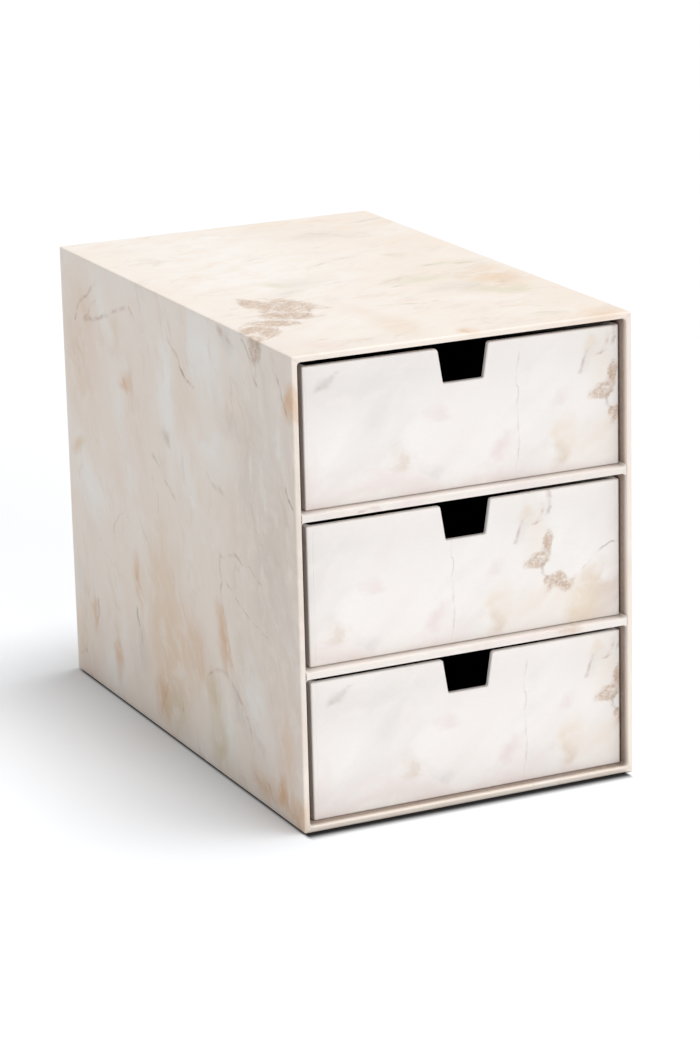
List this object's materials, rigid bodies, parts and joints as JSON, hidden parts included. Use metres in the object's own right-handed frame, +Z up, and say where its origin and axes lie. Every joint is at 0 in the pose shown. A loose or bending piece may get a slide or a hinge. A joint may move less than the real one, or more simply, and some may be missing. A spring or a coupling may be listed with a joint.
{
  "type": "desktop mini drawers",
  "caption": "Upright desktop case of paper-wrapped board with stacked pull-out trays, each with a finger notch cut into the rim of its front.",
  "frame": {"origin": "centre of the case's footprint, on the surface that it stands on", "axes": "+Z up, +Y towards the closed back (the drawers pull out along -Y), +X to the right seen from the front"},
  "size_m": [0.154, 0.25, 0.2001],
  "materials": {
    "printed_paper": "satin laminated marble-effect print",
    "lining_paper": "matt black",
    "greyboard": "matt grey-brown"
  },
  "bodies": {
    "case": {"case_left_board": "greyboard", "case_right_board": "greyboard", "case_top_board": "greyboard", "case_bottom_board": "greyboard", "case_back_board": "greyboard", "upper_shelf_board": "greyboard", "lower_shelf_board": "greyboard", "case_wrap": "printed_paper", "upper_shelf_wrap": "printed_paper", "lower_shelf_wrap": "printed_paper", "back_sheet": "printed_paper", "base_sheet": "printed_paper", "upper_bay_liner": "lining_paper", "middle_bay_liner": "lining_paper", "lower_bay_liner": "lining_paper"},
    "lower_drawer": {"lower_drawer_front_board": "greyboard", "lower_drawer_back_board": "greyboard", "lower_drawer_left_board": "greyboard", "lower_drawer_right_board": "greyboard", "lower_drawer_bottom_board": "greyboard", "lower_drawer_wrap": "printed_paper", "lower_drawer_liner": "lining_paper"},
    "middle_drawer": {"middle_drawer_front_board": "greyboard", "middle_drawer_back_board": "greyboard", "middle_drawer_left_board": "greyboard", "middle_drawer_right_board": "greyboard", "middle_drawer_bottom_board": "greyboard", "middle_drawer_wrap": "printed_paper", "middle_drawer_liner": "lining_paper"},
    "upper_drawer": {"upper_drawer_front_board": "greyboard", "upper_drawer_back_board": "greyboard", "upper_drawer_left_board": "greyboard", "upper_drawer_right_board": "greyboard", "upper_drawer_bottom_board": "greyboard", "upper_drawer_wrap": "printed_paper", "upper_drawer_liner": "lining_paper"}
  },
  "joints": [
    {"name": "lower_drawer_slide", "type": "slide", "parent": "case", "child": "lower_drawer", "axis": [0, -1, 0], "range_m": [0, 0.2]},
    {"name": "middle_drawer_slide", "type": "slide", "parent": "case", "child": "middle_drawer", "axis": [0, -1, 0], "range_m": [0, 0.2]},
    {"name": "upper_drawer_slide", "type": "slide", "parent": "case", "child": "upper_drawer", "axis": [0, -1, 0], "range_m": [0, 0.2]}
  ]
}
